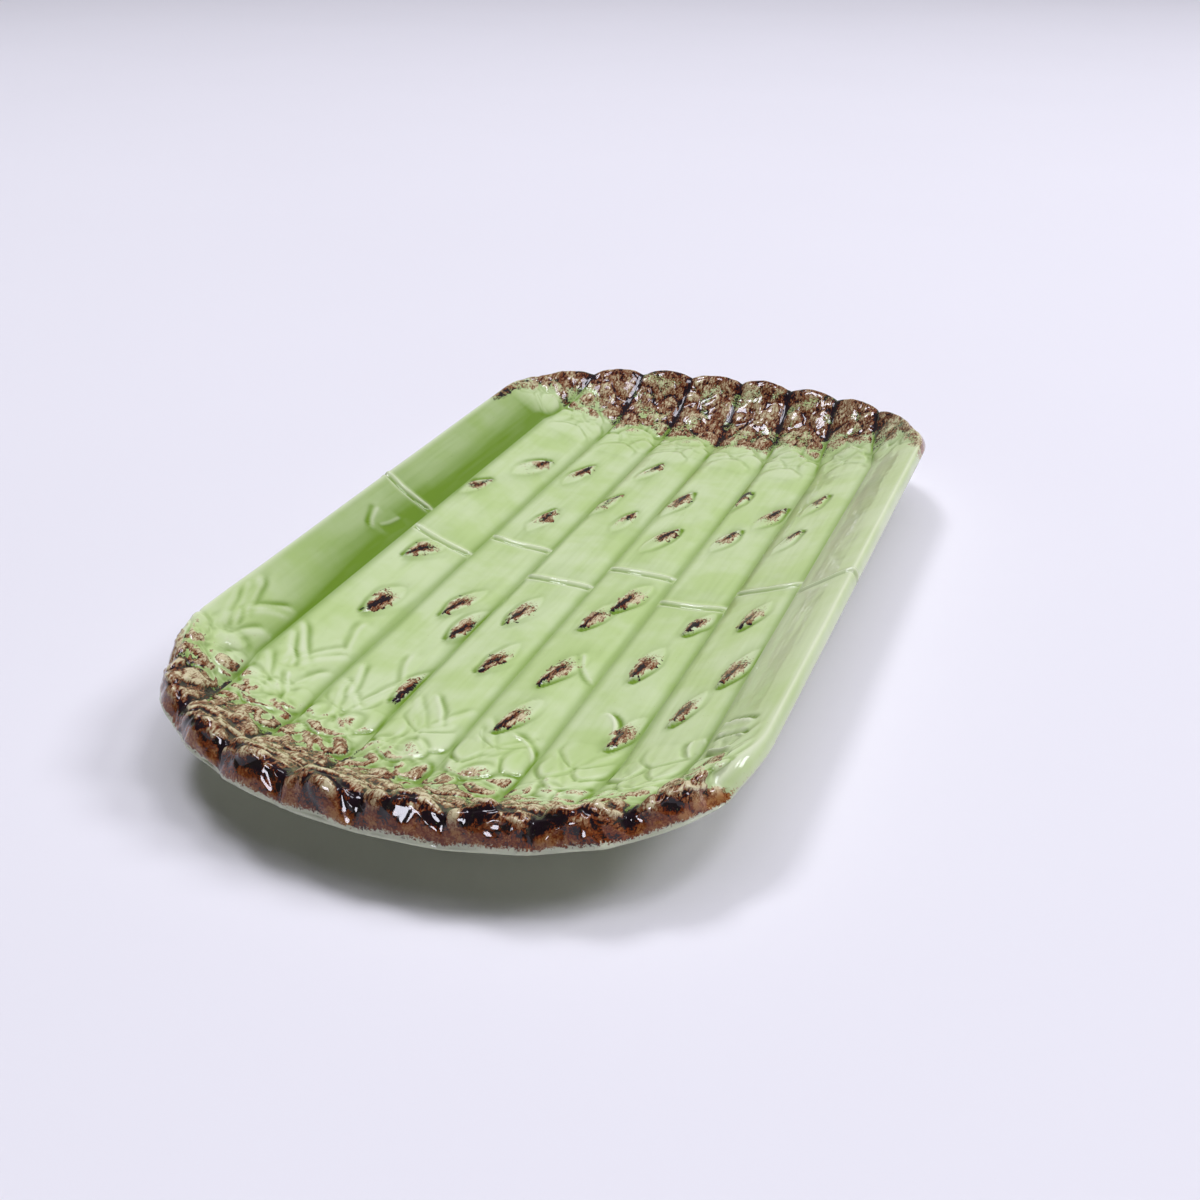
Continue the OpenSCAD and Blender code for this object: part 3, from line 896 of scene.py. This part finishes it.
class StageSettings(bpy.types.PropertyGroup):
    floor: colour("Floor", "Seamless paper under the dish", "#E7E6E7")
    canopy_power: power("Canopy", "Power of the broad lamp overhead", 124.0)
    left_power: power("Left", "Power of the softbox up at the left", 88.0)
    right_power: power("Right", "Power of the softbox up at the right", 57.0)
    side_power: power("Side", "Power of the softbox low at the right", 108.0)
    window_power: power("Window", "Power of the window in front", 42.0)
    fill_low: portion("Fill from the sides", "Light of the horizon", 0.01)
    fill_high: portion("Fill from above", "Light of the ceiling", 0.04)
    room: portion("Room", "Brightness of the mirrored room", 0.25)


def model_spears(context, part, glaze_name):
    """Models the stalk or the tip of every spear."""
    glaze = lead_glaze(glaze_name, context.scene.dish_glaze)
    for word, end in (("near", -1), ("far", 1)):
        for column in range(1, COLUMNS + 1):
            form = form_of(column, end, context.scene.dish_settings)
            rows = slice(form["split"] + 1) if part == "stalk" else slice(form["split"], None)
            piece = clay_tile(f"{word}_{part}_relief_{column}", form, rows)
            finish_piece(piece, f"{word}_{part}_{column}", glaze)


class DISH_OT_stalks(bpy.types.Operator):
    """Models the stalks, with their scales and cut ends"""
    bl_idname = "dish.stalks"
    bl_label = "Stalks"

    def execute(self, context):
        model_spears(context, "stalk", "green_lead_glaze")
        return {"FINISHED"}


class DISH_OT_tips(bpy.types.Operator):
    """Models the tips, with their bracts and the edge that rolls over the rim"""
    bl_idname = "dish.tips"
    bl_label = "Tips"

    def execute(self, context):
        model_spears(context, "tip", "manganese_brown_glaze")
        return {"FINISHED"}


class DISH_OT_foot(bpy.types.Operator):
    """Models the foot ring, rounded where it is wiped before firing"""
    bl_idname = "dish.foot"
    bl_label = "Foot ring"

    def execute(self, context):
        bm = bmesh.new()
        bm.from_mesh(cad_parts["foot_ring"].data)
        bmesh.ops.remove_doubles(bm, verts=bm.verts[:], dist=1e-6)
        bmesh.ops.dissolve_limit(bm, angle_limit=math.radians(1), verts=bm.verts[:], edges=bm.edges[:])
        on_table = [e for e in bm.edges if max(v.co.z for v in e.verts) < 1e-5]
        rims = [e for e in on_table if e.calc_face_angle(0) > math.radians(60)]
        bmesh.ops.bevel(bm, geom=rims, offset=FOOT_ROUND_MM * MM, offset_type="OFFSET", segments=5,
                        profile=0.5, affect="EDGES", material=-1)
        for face in bm.faces:
            face.smooth = True
        for edge in bm.edges:
            edge.smooth = edge.calc_face_angle(0) < math.radians(40)
        piece = meshed("foot_ring_relief", bm)
        set_field(piece, "cream", [1.0] * len(piece.data.vertices))
        glaze = lead_glaze("clear_glaze_on_white_body", context.scene.dish_glaze)
        finish_piece(piece, "foot_ring", glaze)
        return {"FINISHED"}


# Area lights: name, setting of the power, size, place, and the rays that don't see the lamp.
# The canopy is too broad to show in the glaze, and the window in front is only there for it to mirror
LAMPS = (
    ("canopy", "canopy_power", (5.0, 4.0), (0.2, 0.4, 5.2), "visible_glossy"),
    ("left_softbox", "left_power", (1.2, 1.2), (-1.9, 0.75, 4.9), None),
    ("right_softbox", "right_power", (1.2, 1.2), (1.9, 0.75, 4.9), None),
    ("side_softbox", "side_power", (1.5, 1.5), (3.4, 1.24, 3.7), None),
    ("window", "window_power", (0.9, 0.6), (0.3, -2.5, 0.65), "visible_diffuse"),
)
LAMP_COLOUR = "#F2F1FF"
FILL_COLOUR = "#EAF2C8"
BACKDROP_COLOUR = "#E4E3EE"
FIBRE_COLOUR = "#EAE9EA"
# Half of the width of the paper floor, in metres
FLOOR_REACH = 3.6
# Camera fitted to the photo: place, axes to the right, up and ahead, and focus in pixels
CAMERA_MM = (174.2, -446.0, 255.3)
CAMERA_AXES = ((0.92910, 0.36979, 0.00447), (-0.17779, 0.43603, 0.88220), (-0.32428, 0.82045, -0.47086))
FOCUS_PX = 1389.1
PICTURE_PX = 1200
SENSOR_MM = 36


def lay_floor(stage):
    """Matt paper: an even pale sheet that only takes the shadow."""
    bm = bmesh.new()
    bmesh.ops.create_grid(bm, x_segments=1, y_segments=1, size=FLOOR_REACH)
    floor = meshed("paper_floor", bm)
    material, tree, out = new_material("matt_paper")
    at = add(tree, "TexCoord").outputs["Object"]
    fibre = add(tree, "TexNoise", {"Vector": at, "Scale": 3.0, "Detail": 2.0}).outputs[0]
    tone = add(tree, "Mix", {0: fibre, 6: stage.floor[:], 7: linear(FIBRE_COLOUR)}, **COLOURS).outputs[2]
    shader = add(tree, "BsdfPrincipled", {"Base Color": tone, "Roughness": 1.0, "Specular IOR Level": 0.0})
    tree.links.new(shader.outputs[0], out.inputs[0])
    floor.data.materials.append(material)


def light_room(scene, stage):
    """Weak light from the room, a pale sweep for the glaze to mirror, and the backdrop of the picture."""
    world = bpy.data.worlds.new("white_studio")
    scene.world = world
    world.use_nodes = True
    tree = world.node_tree
    tree.nodes.clear()
    out = add(tree, "OutputWorld")
    rays = add(tree, "LightPath").outputs
    mirrored = add(tree, "Math", {0: rays["Is Glossy Ray"], 1: rays["Is Transmission Ray"]},
                   operation="MAXIMUM").outputs[0]
    way = add(tree, "TexCoord").outputs["Generated"]
    y, z = add(tree, "SeparateXYZ", {0: way}).outputs[1:3]
    share = add(tree, "MapRange", {0: z, 1: 0.0, 2: 1.0}, **STEP).outputs[0]
    falling = add(tree, "Mix", {0: share, 2: stage.fill_low, 3: stage.fill_high}).outputs[0]
    # The sweep ends some way up and is pale behind the dish, and the room in front of it is dim
    sweep = add(tree, "MapRange", {0: z, 1: 0.25, 2: 0.5, 3: 0.82, 4: stage.room}, **STEP).outputs[0]
    behind = add(tree, "MapRange", {0: y, 1: -0.3, 2: 0.3, 3: 0.2, 4: 1.0}, **STEP).outputs[0]
    sweep = add(tree, "Math", {0: sweep, 1: behind}, operation="MULTIPLY").outputs[0]
    strength = add(tree, "Mix", {0: mirrored, 2: falling, 3: sweep}).outputs[0]
    tint = add(tree, "Mix", {0: share, 6: linear(FILL_COLOUR), 7: linear(LAMP_COLOUR)}, **COLOURS).outputs[2]
    light = add(tree, "Background", {0: tint, 1: strength}).outputs[0]
    backdrop = add(tree, "Background", {0: linear(BACKDROP_COLOUR), 1: 1.0}).outputs[0]
    shown = add(tree, "MixShader", {0: rays["Is Camera Ray"], 1: light, 2: backdrop})
    tree.links.new(shown.outputs[0], out.inputs[0])


def hang_lamps(stage):
    """Hangs the area lights and points each at the dish."""
    for name, setting, size, place, blind in LAMPS:
        lamp = bpy.data.lights.new(name, "AREA")
        lamp.shape = "RECTANGLE"
        lamp.size, lamp.size_y = size
        lamp.energy = getattr(stage, setting)
        lamp.color = linear(LAMP_COLOUR)[:3]
        light = placed(name, lamp)
        light.location = place
        light.rotation_euler = (-light.location).to_track_quat("-Z", "Y").to_euler()
        if blind:
            setattr(light, blind, False)


def set_camera(scene):
    """Puts the camera where the photo was taken from."""
    optics = bpy.data.cameras.new("camera")
    optics.sensor_width = SENSOR_MM
    optics.lens = SENSOR_MM * FOCUS_PX / PICTURE_PX
    optics.clip_start = 0.01
    camera = placed("camera", optics)
    right, up, ahead = [Vector(axis) for axis in CAMERA_AXES]
    turn = Matrix((right, up, -ahead)).transposed().to_4x4()
    camera.matrix_world = Matrix.Translation(Vector(CAMERA_MM) * MM) @ turn
    scene.camera = camera


class DISH_OT_stage(bpy.types.Operator):
    """Sets up the paper floor, the room, the lamps and the camera"""
    bl_idname = "dish.stage"
    bl_label = "Stage"

    def execute(self, context):
        scene, stage = context.scene, context.scene.dish_stage
        lay_floor(stage)
        light_room(scene, stage)
        hang_lamps(stage)
        set_camera(scene)
        scene.view_settings.view_transform = "Standard"
        return {"FINISHED"}


class DISH_PT_panel(bpy.types.Panel):
    """Sizes, glazes and steps of the dish"""
    bl_idname = "DISH_PT_panel"
    bl_label = "Asparagus dish"
    bl_space_type = "VIEW_3D"
    bl_region_type = "UI"
    bl_category = "Asparagus dish"

    def draw(self, context):
        for group in (context.scene.dish_settings, context.scene.dish_glaze, context.scene.dish_stage):
            box = self.layout.box()
            for name in group.__annotations__:
                box.prop(group, name)
        for step in STEPS:
            self.layout.operator(step)


STEPS = ("dish.stage", "dish.stalks", "dish.tips", "dish.foot")
GROUPS = {"dish_settings": DishSettings, "dish_glaze": GlazeSettings, "dish_stage": StageSettings}
CLASSES = (*GROUPS.values(), DISH_OT_stalks, DISH_OT_tips, DISH_OT_foot, DISH_OT_stage, DISH_PT_panel)


def register():
    for cls in CLASSES:
        bpy.utils.register_class(cls)
    for name, group in GROUPS.items():
        setattr(bpy.types.Scene, name, PointerProperty(type=group))


def unregister():
    for name in GROUPS:
        delattr(bpy.types.Scene, name)
    for cls in reversed(CLASSES):
        bpy.utils.unregister_class(cls)


def main():
    register()
    for step in STEPS:
        group, name = step.split(".")
        getattr(getattr(bpy.ops, group), name)()


if __name__ == "__main__":
    main()
